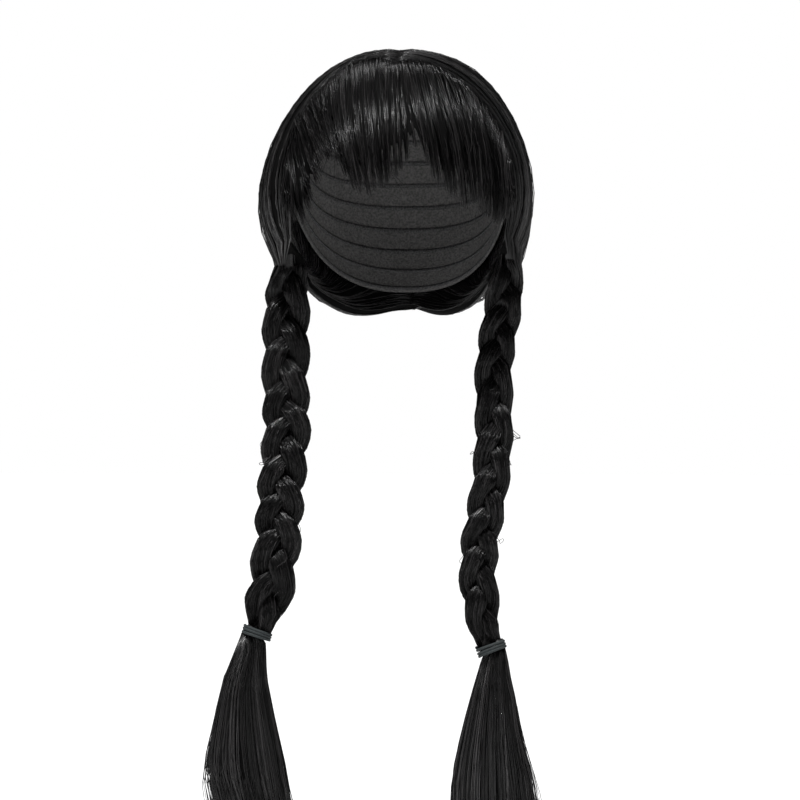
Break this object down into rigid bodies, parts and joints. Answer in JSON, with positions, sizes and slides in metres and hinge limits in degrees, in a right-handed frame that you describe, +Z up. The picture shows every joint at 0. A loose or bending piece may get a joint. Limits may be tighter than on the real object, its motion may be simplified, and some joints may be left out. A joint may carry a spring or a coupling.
{
  "type": "wig",
  "caption": "Wig of long straight hair with a full fringe, a centre parting and plaited pigtails with loose tails",
  "frame": {"origin": "the top of the wearer's head, on the inside of the cap, where the wig sits", "axes": "+Z is up, the wearer faces -Y, and +X is the wearer's left"},
  "size_m": [0.226, 0.2084, 0.5801],
  "materials": {
    "hair": "satin",
    "cap": "matte",
    "elastic": "matte"
  },
  "bodies": {
    "root": {"cap": "cap", "hair_right": "hair", "hair_left": "hair", "fringe": "hair", "plait_right_strand_1": "hair", "plait_right_strand_2": "hair", "plait_right_strand_3": "hair", "plait_left_strand_1": "hair", "plait_left_strand_2": "hair", "plait_left_strand_3": "hair", "elastic_right": "elastic", "elastic_left": "elastic", "tail_right": "hair", "tail_left": "hair"}
  },
  "joints": []
}
